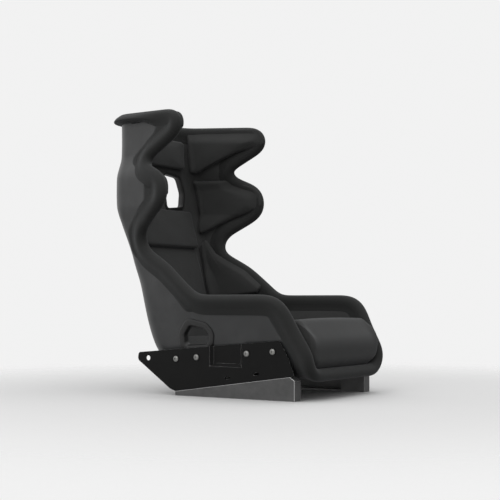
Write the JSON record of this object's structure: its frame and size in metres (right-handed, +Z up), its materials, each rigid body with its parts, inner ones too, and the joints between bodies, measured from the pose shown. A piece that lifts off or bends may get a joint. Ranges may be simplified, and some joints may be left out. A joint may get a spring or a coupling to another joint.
{
  "type": "racing seat",
  "caption": "Fixed-back racing bucket seat with head and shoulder wings, fabric pads and rolled edges, harness slots, and steel side mounts on wedge rails that bolt to a floor",
  "frame": {"origin": "centre of the four floor bolts, on the floor plane under the rails", "axes": "+Z up; the seat faces -Y; +X is the occupant's left; X = 0 is the plane of symmetry"},
  "size_m": [0.6166, 0.8304, 0.928],
  "materials": {
    "shell_composite": "satin black fibre composite",
    "seat_fabric": "matt black knitted cover",
    "edge_fabric": "matt black ribbed fabric over foam",
    "pad_fabric": "matt black non-slip fabric over foam",
    "outer_fabric": "matt black fabric, bonded",
    "slot_trim_plastic": "moulded black",
    "mount_paint": "satin black powder coat",
    "rail_metal": "dark grey anodised, satin",
    "hardware_steel": "zinc-plated"
  },
  "bodies": {
    "root": {"seat_shell": "shell_composite", "seat_cover": "seat_fabric", "head_edge_roll": "edge_fabric", "edge_roll_left": "edge_fabric", "edge_roll_right": "edge_fabric", "front_edge_roll": "edge_fabric", "head_pad_center": "pad_fabric", "head_pad_left": "pad_fabric", "head_pad_right": "pad_fabric", "shoulder_pad_left": "pad_fabric", "shoulder_pad_right": "pad_fabric", "upper_back_pad": "pad_fabric", "lower_back_pad": "pad_fabric", "hip_pad_left": "pad_fabric", "hip_pad_right": "pad_fabric", "seat_cushion": "pad_fabric", "seat_base_pad": "seat_fabric", "outer_fabric_left": "outer_fabric", "outer_fabric_right": "outer_fabric", "belt_slot_trim_left": "slot_trim_plastic", "belt_slot_trim_right": "slot_trim_plastic", "crotch_slot_trim": "slot_trim_plastic", "lap_bezel_left": "slot_trim_plastic", "lap_bezel_right": "slot_trim_plastic", "side_mount_left": "mount_paint", "side_mount_right": "mount_paint", "wedge_rail_left": "rail_metal", "wedge_rail_right": "rail_metal", "mount_spacers_left": "hardware_steel", "mount_spacers_right": "hardware_steel", "mount_screws_left": "hardware_steel", "mount_screws_right": "hardware_steel"}
  },
  "joints": []
}
